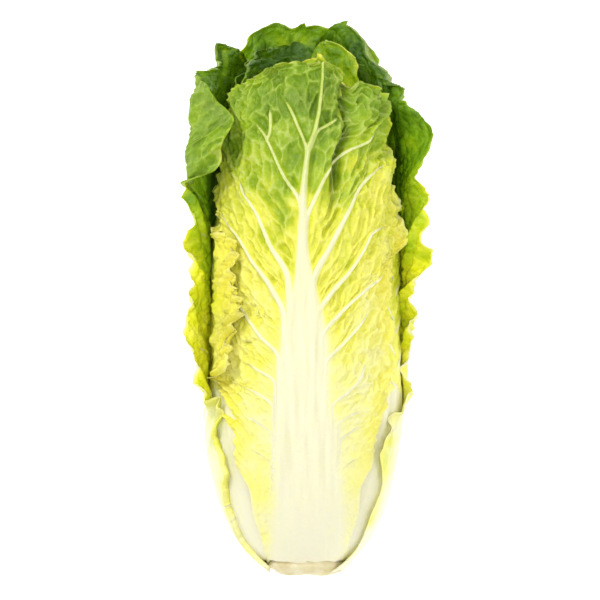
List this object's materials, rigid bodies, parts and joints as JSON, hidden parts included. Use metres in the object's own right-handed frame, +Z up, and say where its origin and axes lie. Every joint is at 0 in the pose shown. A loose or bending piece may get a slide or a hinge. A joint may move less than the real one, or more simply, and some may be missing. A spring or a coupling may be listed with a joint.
{
  "type": "napa cabbage",
  "caption": "Whole head of napa cabbage lying on its back leaf: a cut stem, broad white ribs and overlapping crinkled leaves that go from yellow to dark green.",
  "frame": {"origin": "middle of the small flat spot under the back leaf, on which the head rests", "axes": "+Z up, +Y along the head from the cut stem to the leaf tips, +X to the right as seen from above with the stem towards the viewer"},
  "size_m": [0.1457, 0.3192, 0.1161],
  "materials": {
    "stem_cut": "matt, slightly moist cut plant tissue, pale tan",
    "heart_leaf": "satin crinkled leaf, yellow",
    "front_leaf": "satin crinkled leaf, white rib, yellow below and green above",
    "pale_leaf": "satin crinkled leaf, pale yellow-green with a white rib",
    "mid_leaf": "satin crinkled leaf, mid green with a white rib",
    "dark_leaf": "satin crinkled leaf, dark green with a pale rib"
  },
  "bodies": {
    "root": {"stem": "stem_cut", "heart": "heart_leaf", "leaf_front": "front_leaf", "leaf_outer_left": "mid_leaf", "leaf_outer_right": "dark_leaf", "leaf_back": "mid_leaf", "leaf_flank_left": "pale_leaf", "leaf_flank_right": "pale_leaf", "leaf_inner_front": "pale_leaf", "leaf_rear": "dark_leaf", "leaf_hollow_left": "dark_leaf", "leaf_hollow_right": "mid_leaf"}
  },
  "joints": []
}
